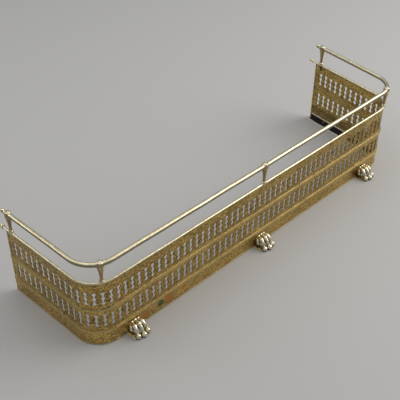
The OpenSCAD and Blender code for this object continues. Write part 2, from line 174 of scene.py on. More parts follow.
# A material, or the world, and the nodes that are put in it
class Finish:
    def __init__(self, name, owner=None):
        self.owner = owner or bpy.data.materials.new(name)
        self.owner.use_nodes = True
        self.tree = self.owner.node_tree
        self.tree.nodes.clear()

    # One node: its settings first, then the values or wires of its inputs
    def add(self, kind, settings=None, inputs=None, out=0):
        node = self.tree.nodes.new("ShaderNode" + kind)
        for name, value in (settings or {}).items():
            setattr(node, name, value)
        for name, value in (inputs or {}).items():
            if isinstance(value, Wire):
                self.tree.links.new(value.socket, node.inputs[name])
            elif node.inputs[name].type == "RGBA":
                node.inputs[name].default_value = (*value, 1.0)
            else:
                node.inputs[name].default_value = value
        return Wire(self, node.outputs[out]) if node.outputs else None

    def place(self):
        return self.add("TexCoord", out="Object")

    # A number or vector that the mesh carries
    def carried(self, name, out="Fac"):
        return self.add("Attribute", {"attribute_name": name}, out=out)

    # One of a vector's three numbers
    def part(self, vector, which):
        return self.add("SeparateXYZ", {}, {0: vector}, out=which)

    # How far the surface faces up
    def facing(self):
        return self.part(self.add("NewGeometry", out="Normal"), 2)

    def stretched(self, vector, scale):
        return self.add("VectorMath", {"operation": "MULTIPLY"}, {0: vector, 1: scale})

    def noise(self, vector, scale, detail=4.0, rough=0.55, twist=0.0):
        return self.add("TexNoise", {}, {"Vector": vector, "Scale": scale, "Detail": detail,
                                                   "Roughness": rough, "Distortion": twist})

    # Rises smoothly from 0 to 1 while value goes from low to high
    def rise(self, value, low, high):
        return self.add("MapRange", {"interpolation_type": "SMOOTHSTEP"},
                        {"Value": value, "From Min": low, "From Max": high})

    def mixed(self, amount, first, second):
        return self.add("Mix", {"data_type": "RGBA"}, {0: amount, 6: first, 7: second}, out=2)

    # Lays colours of a look over the first one, each by its amount
    def layers(self, colour, look, amounts):
        for name, amount in amounts:
            colour = self.mixed(amount, colour, look[name])
        return colour

    def bump(self, height, strength, distance, normal=None):
        inputs = {"Height": height, "Strength": strength, "Distance": distance}
        if normal:
            inputs["Normal"] = normal
        return self.add("Bump", {}, inputs)

    def metal(self, colour, rough, normal, metallic=1.0):
        return self.shaded({"Base Color": colour, "Metallic": metallic, "Roughness": rough, "Normal": normal})

    def shaded(self, inputs):
        shader = self.add("BsdfPrincipled", {}, inputs)
        self.add("OutputMaterial", {}, {"Surface": shader})
        return self.owner


sheetLook = {
    "deep": (0.215, 0.125, 0.040),
    "plain": (0.480, 0.320, 0.095),
    "gold": (0.960, 0.700, 0.215),
    "olive": (0.260, 0.235, 0.070),
    "brown": (0.060, 0.036, 0.016),
    "copper": (0.640, 0.250, 0.055),
    "green": (0.015, 0.130, 0.060),
    # rubbed ridges and edges, brightened with a painted sheen
    "ridge": (0.780, 0.600, 0.270),
    # colour of the painted glints
    "paintedGlint": (1.000, 0.900, 0.480),
    "hem": (0.430, 0.375, 0.255),
    "dusty": (0.285, 0.210, 0.088),
}


# Old rolled sheet: rubbed gold on brown, mottled all over, with copper and green spots low down, a painted
# sheen on the ridges, painted glints, a skirt painted a little brighter, and painted shade in recesses,
# inside and under the rim
def sheetFinish():
    f = Finish("oldSheetBrass")
    at = f.place()
    run = f.carried("run", "Vector")
    crest, hollow = f.carried("crest"), f.carried("hollow")
    high = f.part(run, 1)
    skirt = 1.0 - f.rise(high, 0.034, 0.050)
    upper = f.rise(high, 0.050, 0.200)
    hem = 1.0 - f.rise(high, 0.0028, 0.0045)
    clouds = f.noise(at, 11.0, 4.0, 0.6, 0.5)
    zone = f.rise(clouds, 0.40, 0.60)
    blots = f.noise(at, 60.0, 5.0, 0.65, 0.8)
    flecks = f.noise(at, 190.0, 5.0, 0.65, 0.3)
    specks = f.noise(at, 520.0, 4.0, 0.7)
    rubs = f.noise(f.stretched(run, (14.0, 150.0, 60.0)), 1.0, 4.0, 0.6)
    olive = f.rise(f.noise(at, 48.0, 4.0, 0.65), 0.48, 0.64)
    # painted light: the skirt terms make the skirt a little more gold, warmer and more glinting than the
    # sheet above
    rubbed = f.rise(flecks * 0.5 + blots * 0.15 + rubs * 0.15 + specks * 0.2 + 0.01 * skirt
                    - 0.015 * upper - 0.02 * zone, 0.425, 0.575)
    warm = f.rise(f.noise(at, 70.0, 5.0, 0.65) + 0.03 * skirt, 0.54, 0.66)
    # dust on the upper side of the ridges
    dusty = f.rise(f.facing(), 0.12, 0.7)
    stained = f.rise(specks * 0.45 - flecks * 0.35 + blots * 0.2 + 0.01 * upper, 0.13, 0.26)
    stained = stained * (1.0 - 0.5 * crest) * (0.45 + 0.55 * zone)
    ragged = (blots - 0.5) * 1.5 + (flecks - 0.5) * 1.2
    # painted glints: small bright yellow-white specks, with less roughness
    bright = f.rise(f.noise(at, 320.0, 3.0, 0.6) + 0.04 * skirt, 0.62, 0.70)
    colour = f.mixed(f.rise(clouds * 0.3 + blots * 0.7, 0.42, 0.57), sheetLook["deep"], sheetLook["plain"])
    colour = f.layers(colour, sheetLook, (
        ("olive", olive * 0.5),
        ("gold", rubbed * 0.9),
        ("copper", warm * 0.6),
        # rubbed ridges and hem, with a painted sheen on the ridges and painted glints on the slots' edges
        ("ridge", f.rise(crest, 0.0, 0.5) * 0.6),
        ("dusty", dusty * 0.8),
        ("brown", stained * 0.85),
        ("copper", f.rise(f.carried("copper") + ragged, 0.25, 0.5) * 0.95),
        ("green", f.rise(f.carried("green") + ragged, 0.25, 0.5) * 0.95),
        # painted shade in recesses, inside, round the slots and under the rim
        ("brown", hollow * 0.8),
        ("paintedGlint", bright * 0.85),
        ("hem", hem * 0.6),
    ))
    rough = 0.23 + 0.14 * flecks + 0.2 * stained + 0.12 * hollow + 0.27 * crest + 0.1 * dusty - 0.1 * bright
    waves = f.bump(f.noise(at, 24.0, 2.0, 0.5), 0.5, 0.004)
    dents = f.bump(f.noise(at, 95.0, 3.0, 0.6), 0.5, 0.0022, waves)
    pits = f.bump(flecks * 0.6 + specks * 0.4, 0.45, 0.0010, dents)
    lines = f.noise(f.stretched(run, (60.0, 1500.0, 400.0)), 1.0, 3.0, 0.6)
    scratches = f.bump(lines * 0.6 + specks * 0.6, 0.25, 0.0003, pits)
    return f.metal(colour, rough, scratches)


brightLook = {
    "plain": (0.660, 0.570, 0.360),
    "pale": (0.860, 0.800, 0.570),
    # painted shade for the posts' upright stems
    "turned": (0.330, 0.205, 0.062),
    "dull": (0.215, 0.180, 0.110),
    "dark": (0.050, 0.034, 0.018),
}


# Bright brass: mottled pale, with painted shade on the faces that turn down and on the posts' upright stems,
# and duller in the turned grooves
def brightFinish():
    f = Finish("handledBrass")
    at = f.place()
    run = f.carried("run", "Vector")
    crest, hollow = f.carried("crest"), f.carried("hollow")
    facing = f.facing()
    patches = f.noise(at, 38.0, 5.0, 0.6, 0.5)
    flecks = f.noise(at, 190.0, 3.0, 0.6)
    specks = f.noise(at, 520.0, 3.0, 0.6)
    # the painted shade underneath goes on the rail and posts, above the rim, and not on the rim
    height = f.part(at, 2)
    aboveRim = f.rise(height, 0.222, 0.240)
    turned = f.rise(f.part(run, 2), 0.0, 0.002)
    # painted shade: the posts' upright stems are painted darker and browner than their tops and balls
    sides = turned * f.rise(height, 0.2235, 0.2275) * (1.0 - f.rise(facing, 0.2, 0.7))
    # painted shade: darker and duller where the surface faces down
    under = f.rise(patches * 0.4 - facing, -0.65, -0.15) * aboveRim * (1.0 - 0.75 * turned)
    mottle = f.rise(patches * 0.5 + flecks * 0.5, 0.40, 0.60)
    browned = f.rise(patches * 0.6 + flecks * 0.4, 0.38, 0.60)
    stained = f.rise(specks * 0.45 + patches * 0.55, 0.55, 0.68)
    colour = f.layers(brightLook["plain"], brightLook, (
        ("pale", mottle),
        ("turned", sides * (0.55 + 0.4 * browned)),
        ("dull", under * 0.8),
        ("dull", stained * 0.6),
        ("dark", hollow * 0.9),
        ("pale", crest * 0.4),
    ))
    rough = 0.20 + 0.13 * patches + 0.16 * stained + 0.12 * under + 0.15 * hollow
    waves = f.bump(f.noise(at, 55.0, 2.0, 0.5), 0.35, 0.0018)
    lines = f.noise(f.stretched(run, (50.0, 1800.0, 1800.0)), 1.0, 3.0, 0.6)
    scratches = f.bump(lines * 0.5 + specks * 0.7, 0.2, 0.0002, waves)
    return f.metal(colour, rough, scratches)


castLook = {
    "plain": (0.740, 0.650, 0.440),
    "pale": (0.960, 0.910, 0.760),
    "dark": (0.025, 0.018, 0.010),
    "brown": (0.150, 0.100, 0.046),
}


# Cast paws: bright on the knuckles, nearly black in the creases, with painted shade on the faces that turn
# down
def castFinish():
    f = Finish("castPawBrass")
    at = f.place()
    crest, hollow = f.carried("crest"), f.carried("hollow")
    facing = f.facing()
    clouds = f.noise(at, 70.0, 4.0, 0.6)
    grain = f.noise(at, 700.0, 4.0, 0.65)
    # painted shade: browner where the surface faces down
    under = f.rise(clouds * 0.4 - facing, -0.1, 0.6)
    stained = f.rise(grain * 0.5 + clouds * 0.5 + hollow * 0.2, 0.57, 0.70)
    colour = f.layers(castLook["plain"], castLook, (
        ("pale", f.rise(clouds, 0.38, 0.62)),
        ("pale", crest * 0.6),
        ("brown", under * 0.85),
        ("brown", stained * 0.4),
        ("dark", f.rise(hollow, 0.10, 0.55)),
    ))
    rough = 0.15 + 0.12 * clouds + 0.35 * hollow + 0.1 * grain
    waves = f.bump(clouds, 0.25, 0.0008)
    pits = f.bump(grain, 0.2, 0.0002, waves)
    return f.metal(colour, rough, pits)


ironLook = {
    "black": (0.014, 0.013, 0.013),
    "rust": (0.085, 0.042, 0.022),
    "bare": (0.860, 0.830, 0.760),
}


# Blackened iron with thin rust and rubbed edges
def ironFinish():
    f = Finish("blackenedIron")
    at = f.place()
    crest = f.carried("crest")
    patches = f.noise(at, 40.0, 5.0, 0.65)
    grain = f.noise(at, 500.0, 4.0, 0.65)
    rusty = f.rise(patches * 0.75 + grain * 0.25, 0.52, 0.66)
    bare = f.rise(crest + patches * 0.5, 0.52, 0.8)
    colour = f.layers(ironLook["black"], ironLook, (("rust", rusty * 0.6), ("bare", bare)))
    rough = 0.5 + 0.3 * rusty - 0.22 * bare
    scale = f.bump(patches * 0.6 + grain * 0.4, 0.5, 0.0008)
    return f.metal(colour, rough, scale, 0.35 + 0.35 * bare)


finishes = {
    "sheet_brass": sheetFinish(),
    "bright_brass": brightFinish(),
    "cast_brass": castFinish(),
    "black_iron": ironFinish(),
}
print("finishes made")


# Marks each vertex with how far it stands out ("crest") or lies in ("hollow"), from 0 to 1
def markCurves(mesh, reach):
    count = len(mesh.vertices)
    near = [[] for _ in range(count)]
    for edge in mesh.edges:
        a, b = edge.vertices
        near[a].append(b)
        near[b].append(a)
    bend = [0.0] * count
    for vertex in mesh.vertices:
        around = near[vertex.index]
        if not around:
            continue
        middle = sum((mesh.vertices[i].co for i in around), Vector()) / len(around)
        length = sum((mesh.vertices[i].co - vertex.co).length for i in around) / len(around)
        # twice the offset over the square of the edge length is the curvature, here per reach
        bend[vertex.index] = 2 * (vertex.co - middle).dot(vertex.normal) / max(length, 1e-6) ** 2 * reach * mm
    for _ in range(2):
        bend = [(bend[i] + sum(bend[j] for j in near[i])) / (1 + len(near[i])) for i in range(count)]
    for name, sign in (("crest", 1), ("hollow", -1)):
        layer = mesh.attributes.new(name, "FLOAT", "POINT")
        for i in range(count):
            layer.data[i].value = limited(bend[i] * sign)


# Puts a new object with some data in the scene
def addObject(name, data):
    made = bpy.data.objects.new(name, data)
    scene.collection.objects.link(made)
    return made


# Makes a piece of the fender from points and faces. Edges over sharp degrees stay crisp.
# The marks are given, or else come from curvature over the reach in millimetres
def makePiece(name, slotName, points, faces, runs, sharp, reach=1.0, marks=None):
    mesh = bpy.data.meshes.new(name + "Skin")
    mesh.from_pydata([tuple(p) for p in points], [], faces)
    shell = bmesh.new()
    shell.from_mesh(mesh)
    bmesh.ops.recalc_face_normals(shell, faces=shell.faces)
    shell.to_mesh(mesh)
    shell.free()
    return finishPiece(name, slotName, mesh, runs, sharp, reach, marks)


# Gives a mesh its marks and finish, and puts it in the place of its node
def finishPiece(name, slotName, mesh, runs, sharp, reach, marks=None):
    layer = mesh.attributes.new("run", "FLOAT_VECTOR", "POINT")
    for i, vertex in enumerate(mesh.vertices):
        layer.data[i].vector = Vector(runs[i]) * mm if runs else vertex.co
    if marks:
        for key, values in marks.items():
            layer = mesh.attributes.new(key, "FLOAT", "POINT")
            for i, value in enumerate(values):
                layer.data[i].value = value
    else:
        markCurves(mesh, reach)
    for polygon in mesh.polygons:
        polygon.use_smooth = True
    mesh.set_sharp_from_angle(angle=radians(sharp))
    mesh.materials.append(finishes[slotName])
    piece = addObject(name + "Skin", mesh)
    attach(piece, "root")
    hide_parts(name)
    return piece


tubes = {
    "rimRadius": 3.5,
    "railRadius": 6.25,
    "sides": 28,
    "step": 6.0,
    "rimWave": 0.3,
    "railWave": 0.55,
    "join": 0.15,
}

gallery = {
    "hem": 2.0,
    "skirt": 41.0,
    "ridge": 12.0,
    "ridgeOut": 3.5,
    "rowMiddles": (85.5, 162.5),
    "pitch": 21.9,
    "lobe": 5.3,
    "lobeStep": 16.7,
    "neck": 2.3,
    "endStrip": 18.0,
    "seamMargin": 3.0,
    "cellHalf": 24.0,
    "cellSteps": 16,
    "edgeRound": 0.4,
    "rearHem": 2.5,
    "rearSides": 14,
    "rearWear": 0.35,
    "dent": 0.55,
    "knocks": 150,
    # height, size and push of a knock
    "knockRanges": ((15.0, 205.0), (9.0, 34.0), (-1.0, 0.6)),
    "seed": 5,
    # place along the front, height and size of the coloured spots
    "copperSpots": ((-355.0, 24.0, 24.0), (-438.0, 21.0, 18.0),
                    (-398.0, 113.0, 12.0), (-300.0, 30.0, 12.0)),
    "greenSpots": ((-383.0, 26.0, 17.0),),
}

pitch = gallery["pitch"]
ridgeHalf = gallery["ridge"] / 2
ridgeMiddles = (gallery["skirt"] + ridgeHalf, sum(gallery["rowMiddles"]) / 2)
ridgeRadius = (ridgeHalf ** 2 + gallery["ridgeOut"] ** 2) / (2 * gallery["ridgeOut"])
ridgeCentre = ridgeRadius - gallery["ridgeOut"]
sheetTop = rimZ - 0.5

# Small knocks, each first with its place along
chance = random.Random(gallery["seed"])
ranges = ((-sheetEnd, sheetEnd), *gallery["knockRanges"])
knocks = [[chance.uniform(low, high) for low, high in ranges] for _ in range(gallery["knocks"])]


# How far the sheet is pushed in by long waves and small knocks
def dentAt(s, z):
    fade = limited((z - 20) / 25) * limited((206 - z) / 25)
    if fade == 0:
        return 0.0
    depth = 0.5 * wander(s + z * 0.6, 3, 190) + 0.3 * wander(z * 3 - s * 0.4, 8, 260)
    for ks, kz, size, push in knocks:
        gap = ((s - ks) / size) ** 2 + ((z - kz) / size) ** 2
        if gap < 6:
            depth += push * exp(-gap)
    return depth * gallery["dent"] * fade


# How far a point is inside the nearest of some spots, from 0 to 1
def inSpots(s, z, u, spots):
    if u > midU:
        return 0.0
    return max(limited(1 - hypot((s - spotS) / size, (z - spotZ) / size)) for spotS, spotZ, size in spots)


# Right half of a slot's outline from its lowest to its highest point, grown by some
def slotSide(grow):
    lobe = gallery["lobe"] + grow
    neck = gallery["neck"] + grow
    joint = degrees(acos(neck / lobe))
    sweeps = ((-1, -90, joint, 7), (0, -joint, joint, 6), (1, -joint, 90, 7))
    points = []
    for level, start, end, steps in sweeps:
        points += arc(level * gallery["lobeStep"], lobe, start, end, steps)
    return points


# Heights of the points up the side of the cell that a slot lies in
def cellHeights(middle):
    return even(middle - gallery["cellHalf"], middle + gallery["cellHalf"], gallery["cellSteps"])


# The same number of points as a slot's side has, round that half of its cell
def cellSide(width):
    half, inner = gallery["cellHalf"], even(0.0, width, 3)[:3]
    side = [(width, z) for z in cellHeights(0.0)]
    return [(x, -half) for x in inner] + side + [(x, half) for x in reversed(inner)]


# Heights of the section's rows outside the slot cells, each with its depth outside and inside
def sheetRows():
    def ridgeRows(middle):
        rows = []
        for t in even(-1, 1, 10):
            wide = asin(ridgeHalf / ridgeRadius) * t
            z = middle + ridgeRadius * sin(wide)
            inner = ridgeRadius - sheet
            innerWide = acos((ridgeCentre - sheet) / inner) * t
            rows.append((z, ridgeCentre - ridgeRadius * cos(wide),
                         middle + inner * sin(innerWide), ridgeCentre - inner * cos(innerWide)))
        return rows

    def flatRows(low, high, steps):
        return [(z, 0.0, z, sheet) for z in even(low, high, steps)]

    beside, cell = ridgeHalf + 0.3, gallery["cellHalf"]
    low, high = ridgeMiddles
    rowLow, rowHigh = gallery["rowMiddles"]
    skirt = flatRows(2 * gallery["hem"], low - beside, 8)
    channel = flatRows(rowLow + cell, high - beside, 3)
    return [
        skirt + ridgeRows(low) + flatRows(low + beside, rowLow - cell, 3),
        channel + ridgeRows(high) + flatRows(high + beside, rowHigh - cell, 3),
        flatRows(rowHigh + cell, sheetTop, 7),
    ]


# Depth of the outer face at a height, which is less than 0 on a ridge
def outerDepth(z):
    gap = min(abs(z - middle) for middle in ridgeMiddles)
    return ridgeCentre - sqrt(ridgeRadius ** 2 - gap ** 2) if gap < ridgeHalf else 0.0


# Where the sheet is rubbed and given painted sheen and glints, and where it takes painted shade: lines are a
# middle and a half width
wearAndShade = {
    "ridge": 1.6,
    "hem": 0.6,
    "slotEdgeGlint": 0.7,
    "slotHalf": 22.6,
    "hemLine": (5.0, 2.0),
    "besideRidge": (6.8, 1.2),
    "rimFrom": 208.0,
    "rimFade": 5.0,
    "insideShadeTop": 64.0,
    "insideShadeFade": 22.0,
    "channelLine": (138.0, 6.0),
    "rowHalf": 23.0,
    "besideSlot": 6.5,
    # strength of the painted shade
    "dirt": 0.8,
}


# 1 at a line's middle, falling to 0 at its half width and under 0 beyond
def nearLine(value, line):
    middle, half = line
    return 1 - abs(value - middle) / half


# How rubbed and painted bright, and how darkened by painted shade, the sheet is at a point, each from 0 to 1
def sheetMarks(s, z, u):
    ridgeGap = min(abs(z - middle) for middle in ridgeMiddles)
    rowGap = min(abs(z - middle) for middle in gallery["rowMiddles"])
    inSlot = 0.05 < u < sheet - 0.05 and rowGap < wearAndShade["slotHalf"]
    # the ridges are rubbed and given a painted sheen
    rubbed = wearAndShade["ridge"] * (1 - ridgeGap / ridgeHalf) if u < 0.01 else 0.0
    if u < 0 and z < 2 * gallery["hem"]:
        rubbed = max(rubbed, wearAndShade["hem"])
    # painted glints on the slots' cut edges
    if inSlot and u < 0.2:
        rubbed = wearAndShade["slotEdgeGlint"]
    # painted shade in the fold over the hem
    paintedShade = nearLine(z, wearAndShade["hemLine"]) if u == 0.0 else 0.0
    # painted shade inside, darkest low down, and a line of it over the upper channel
    if u > outerDepth(z) + midU:
        paintedShade = max(paintedShade, 0.15, min(0.95, (wearAndShade["insideShadeTop"] - z) / wearAndShade["insideShadeFade"]),
                    0.6 * nearLine(z, wearAndShade["channelLine"]))
    # painted shade in the corners beside the ridges and under the rim bead
    paintedShade = max(paintedShade, 0.5 * nearLine(ridgeGap, wearAndShade["besideRidge"]), (z - wearAndShade["rimFrom"]) / wearAndShade["rimFade"])
    # painted shade round and between the slots
    if rowGap < wearAndShade["rowHalf"]:
        slotGap = abs((abs(s) / pitch) % 1.0 - 0.5) * pitch
        paintedShade = max(paintedShade, 0.45 if slotGap < wearAndShade["besideSlot"] else 0.25)
    # painted shade, darkest on the slots' walls
    if inSlot:
        paintedShade = max(paintedShade, 0.9)
    return limited(rubbed), limited(paintedShade) * wearAndShade["dirt"]


# Adds a face, where two of its corners may be one point
def addFace(faces, corners):
    corners = list(dict.fromkeys(corners))
    if len(corners) > 2:
        faces.append(corners)


# Faces round a run of closed rings of points, with flat ends
def ringFaces(rings, sides, start=0):
    faces = []
    for i in range(rings - 1):
        a, b = start + i * sides, start + (i + 1) * sides
        faces += [[a + k, a + (k + 1) % sides, b + (k + 1) % sides, b + k] for k in range(sides)]
    last = start + (rings - 1) * sides
    return faces + [[start + k for k in range(sides)], [last + k for k in range(sides)]]


# Where the cells begin and end, each with its slot's middle, or None for a plain one
def sheetCells(start, end, slots):
    half = pitch / 2
    cells, here = [], start
    for i, s in enumerate(slots):
        left = here if i == 0 and s - half - start < half else s - half
        if left > here + 0.01:
            cells.append((here, None, left))
        right = s + half
        if right > end or (i == len(slots) - 1 and end - right < 1.0):
            right = end
        cells.append((left, s, right))
        here = right
    while here < end - 0.01:
        after = min(here + pitch, end)
        if end - after < 6:
            after = end
        cells.append((here, None, after))
        here = after
    return cells


# Builds one length of the sheet between two distances, with its slots and rolled rear ends
def makeSheet(name, start, end, slots, rearEnds=()):
    index, points, faces = {}, [], []

    def corner(s, z, u):
        key = (round(s, 2), round(z, 2), round(u, 2))
        if key not in index:
            index[key] = len(points)
            points.append((s, z, u))
        return index[key]

    def strip(first, second):
        for i in range(len(first) - 1):
            addFace(faces, [corner(*at) for at in (first[i], first[i + 1], second[i + 1], second[i])])

    def across(a, b, section):
        strip([(a, z, u) for z, u in section], [(b, z, u) for z, u in section])

    bands, cells = sheetRows(), sheetCells(start, end, slots)
    columns = []
    for left, s, right in cells:
        middle = (left + right) / 2 if s is None else s
        columns += even(left, middle, 3)[:3] + even(middle, right, 3)[:3]
    columns.append(end)
    hem = gallery["hem"]
    hemRows = [(hem - hem * cos(angle), -hem * sin(angle)) for angle in even(0.0, pi, 10)]
    sections = [[row[side:side + 2] for row in rows] for rows in bands for side in (0, 2)]
    sections += [hemRows, [(0.0, 0.0), (0.0, sheet), (2 * hem, sheet)], [(sheetTop, 0.0), (sheetTop, sheet)]]
    for a, b in zip(columns, columns[1:]):
        for section in sections:
            across(a, b, section)

    edge = gallery["edgeRound"]
    levels = [(edge, 0.0), (edge * 0.3, edge * 0.3), (0.0, edge)]
    levels += [(grow, sheet - u) for grow, u in reversed(levels)]
    for left, s, right in cells:
        for middleZ in gallery["rowMiddles"]:
            zs = cellHeights(middleZ)
            if s is None:
                spots = even(left, right, 6)
                for a, b in zip(spots, spots[1:]):
                    across(a, b, [(z, 0.0) for z in zs])
                    across(a, b, [(z, sheet) for z in zs])
                continue
            for side, width in ((1, right - s), (-1, s - left)):
                outlines = [(slotSide(grow), u) for grow, u in levels]
                outlines = [(cellSide(width), 0.0)] + outlines + [(cellSide(width), sheet)]
                rings = [[(s + side * x, middleZ + z, u) for x, z in outline] for outline, u in outlines]
                for first, second in zip(rings, rings[1:]):
                    strip(first, second)

    # closes the two ends
    for s in (start, end):
        for rows in bands:
            strip([(s, z, u) for z, u, _, _ in rows], [(s, z, u) for _, _, z, u in rows])
        for zs in map(cellHeights, gallery["rowMiddles"]):
            strip([(s, z, 0.0) for z in zs], [(s, z, sheet) for z in zs])
        faces.append([corner(s, z, u) for z, u in hemRows + [(2 * hem, sheet), (0.0, sheet)]])

    runs = list(points)
    marks = [sheetMarks(s, z, u) for s, z, u in points]
    placed = [spot(s, z, u + dentAt(s, z)) for s, z, u in points]

    # the rolled rear edge
    sides, top = gallery["rearSides"], rimZ - tubes["rimRadius"] - plan["gap"]
    ease = 0.6
    heights = [0.0, ease] + [6.0 * i for i in range(1, 35)] + [top - ease, top]
    for rearS in rearEnds:
        faces += ringFaces(len(heights), sides, len(placed))
        outer, run, inward = station(rearS)
        for z in heights:
            radius = gallery["rearHem"] - (ease if z in (0.0, top) else 0.0)
            sway = 0.25 * wander(z * 2, 4, 130)
            for angle in circle(sides):
                offset = run * (radius * cos(angle) + sway) + inward * (midU + radius * sin(angle))
                placed.append((outer + offset + upward * z) * mm)
                runs.append((rearS + radius * angle, z, 0.0))
                marks.append((gallery["rearWear"], 0.0))
    makePiece(name, "sheet_brass", placed, faces, runs, 50, marks={
        "crest": [rubbed for rubbed, paintedShade in marks],
        "hollow": [paintedShade for rubbed, paintedShade in marks],
        "copper": [inSpots(s, z, u, gallery["copperSpots"]) for s, z, u in runs],
        "green": [inSpots(s, z, u, gallery["greenSpots"]) for s, z, u in runs],
    })


allSlots = [(k + 0.5) * pitch for k in range(60)]
seamClear = gallery["lobe"] + gallery["seamMargin"]
frontSlots = [s for s in allSlots if s < tangentX - seamClear]
lastSlot = sheetEnd - gallery["endStrip"] - gallery["lobe"]
sideSlots = [s for s in allSlots if tangentX + seamClear < s < lastSlot]
makeSheet("gallery_front", -tangentX, tangentX, [-s for s in reversed(frontSlots)] + frontSlots)
makeSheet("gallery_right", tangentX, sheetEnd, sideSlots, [sheetEnd])
makeSheet("gallery_left", -sheetEnd, -tangentX, [-s for s in reversed(sideSlots)], [-sheetEnd])
print("pierced sheet made,", 4 * (len(frontSlots) + len(sideSlots)), "slots")


# A round length along the fender from one distance to another, slightly uneven as hand-bent tube is
def makeTube(name, start, end, z, radius, wave, seed):
    along, sides = spaced(start, end, tubes["step"]), tubes["sides"]
    points, runs = [], []
    for s in along:
        sway = wave * wander(s, seed, 240)
        lift = wave * 0.7 * wander(s, seed + 5, 310)
        size = radius * (1 + 0.018 * wander(s, seed + 9, 90))
        for angle in circle(sides):
            points.append(spot(s, z + lift + size * sin(angle), midU + sway + size * cos(angle)))
            runs.append((s, radius * angle, 0.0))
    plain = [0.0] * len(points)
    makePiece(name, "bright_brass", points, ringFaces(len(along), sides), runs, 50,
              marks={"crest": plain, "hollow": plain})


join = tubes["join"]
for place, start, end in lengths(rimEnd):
    makeTube("rim_" + place, start, end, rimZ, tubes["rimRadius"], tubes["rimWave"], 1)
for place, start, end in (("front_left", -postFrontS + join, -join), ("front_right", join, postFrontS - join),
                          ("left", -railEnd, -postFrontS - join), ("right", postFrontS + join, railEnd)):
    makeTube("rail_" + place, start, end, railZ, tubes["railRadius"], tubes["railWave"], 2)
print("rim bead and rail made")


# Rounds an outline's corners by cutting them, a few times over
def rounded(outline, passes=3):
    for _ in range(passes):
        cut = [outline[0]]
        for (r0, h0), (r1, h1) in zip(outline, outline[1:]):
            cut.append((r0 * 0.75 + r1 * 0.25, h0 * 0.75 + h1 * 0.25))
            cut.append((r0 * 0.25 + r1 * 0.75, h0 * 0.25 + h1 * 0.75))
        cut.append(outline[-1])
        outline = cut
    return outline


# Turns an outline of radius and height round an axis
def lathe(outline, origin, axis, across, sides=32):
    other = axis.cross(across)
    points, runs, faces, rows = [], [], [], []
    for radius, height in outline:
        # on the axis a ring is one point
        angles = circle(sides) if radius > 0.02 else [0.0]
        rows.append(range(len(points), len(points) + len(angles)))
        for angle in angles:
            outwards = across * cos(angle) + other * sin(angle)
            points.append((origin + axis * height + outwards * radius) * mm)
            runs.append((radius * angle, height, radius))
    for low, high in zip(rows, rows[1:]):
        for k in range(sides):
            j = (k + 1) % sides
            addFace(faces, [low[k % len(low)], low[j % len(low)], high[j % len(high)], high[k % len(high)]])
    return points, runs, faces


post = {
    "footBall": 7.0,
    "footBallZ": 3.5,
    "stemBase": 10.0,
    "ring": 5.4,
    "cove": 5.2,
    "waist": 4.0,
    "waistZ": 15.0,
    "neckZ": 51.5,
    "neck": 8.8,
    "flare": 2.1,
    "collar": 9.3,
    "head": 9.2,
    "headHeight": 15.0,
    "button": 2.5,
    "tangWidth": 8.0,
    "tangThick": 3.5,
    "tangLength": 20.0,
    "tangEdge": 0.7,
}


# Outline of the turned post above the rim's axis: ball, cove, trumpet, collar and barrel head
def postOutline():
    keys = ("waist", "waistZ", "neckZ", "head", "neck", "stemBase", "collar", "ring", "cove")
    waist, waistZ, neckZ, head, neck, base, collar, ring, cove = (post[key] for key in keys)
    top = railZ - rimZ + post["headHeight"] / 2
    low = top - post["headHeight"]
    outline = [(0.0, post["footBallZ"] - post["footBall"])]
    outline += arc(post["footBallZ"], post["footBall"], -85, 48, 14)
    outline += rounded([(ring - 0.8, base - 1.2), (ring, base - 1.0),
                        (ring, base - 0.2), (ring - 0.6, base + 0.4)], 2)
    for z in even(base + 0.5, neckZ, 26)[1:]:
        if z < waistZ:
            t = (z - base) / (waistZ - base)
            radius = cove + (waist - cove) * (1 - cos(pi * t)) / 2
        else:
            radius = waist + (neck - waist) * ((z - waistZ) / (neckZ - waistZ)) ** post["flare"]
        outline.append((radius, z))
    outline += rounded([(neck, neckZ + 0.2), (collar, neckZ + 0.3), (collar, neckZ + 2.0),
                        (neck - 0.1, neckZ + 2.2), (neck - 0.1, low - 0.4)], 2)
    outline += rounded([(neck + 0.1, low - 0.1), (head - 0.1, low + 0.8), (head, (low + top) / 2),
                        (head - 0.2, top - 3.0), (head - 1.4, top - 0.4), (head - 4.4, top + 0.5),
                        (3.1, top + 0.7), (3.0, top + post["button"] * 0.7), (1.7, top + post["button"]),
                        (0.0, top + post["button"])], 3)
    return outline


def bevel(shell, edges, width, segments):
    bmesh.ops.bevel(shell, geom=edges, offset=width, segments=segments, profile=0.5, affect="EDGES")


# A flat bar with rounded edges behind the sheet, hanging from the rim
def tang(origin, run, inward):
    shell = bmesh.new()
    bmesh.ops.create_cube(shell, size=1.0)
    thick = post["tangThick"]
    for vertex in shell.verts:
        x = vertex.co.x * post["tangWidth"]
        y = vertex.co.y * thick + sheet + plan["gap"] + thick / 2
        z = rimZ - post["tangLength"] + (vertex.co.z + 0.5) * (post["tangLength"] + 1)
        vertex.co = (origin + run * x + inward * y + upward * z) * mm
    bevel(shell, shell.edges[:], post["tangEdge"] * mm, 3)
    points = [v.co.copy() for v in shell.verts]
    faces = [[v.index for v in f.verts] for f in shell.faces]
    shell.free()
    return points, faces


def makePost(name, s):
    outer, run, inward = station(s)
    points, runs, faces = lathe(postOutline(), outer + inward * midU + upward * rimZ, upward, run)
    barPoints, barFaces = tang(outer, run, inward)
    start = len(points)
    points += barPoints
    runs += [tuple(p / mm) for p in barPoints]
    faces += [[i + start for i in face] for face in barFaces]
    piece = makePiece(name, "bright_brass", points, faces, runs, 38, 1.4)
    # the hidden bar was never polished
    for i in range(start, len(points)):
        piece.data.attributes["hollow"].data[i].value = 0.9
        piece.data.attributes["crest"].data[i].value = 0.0


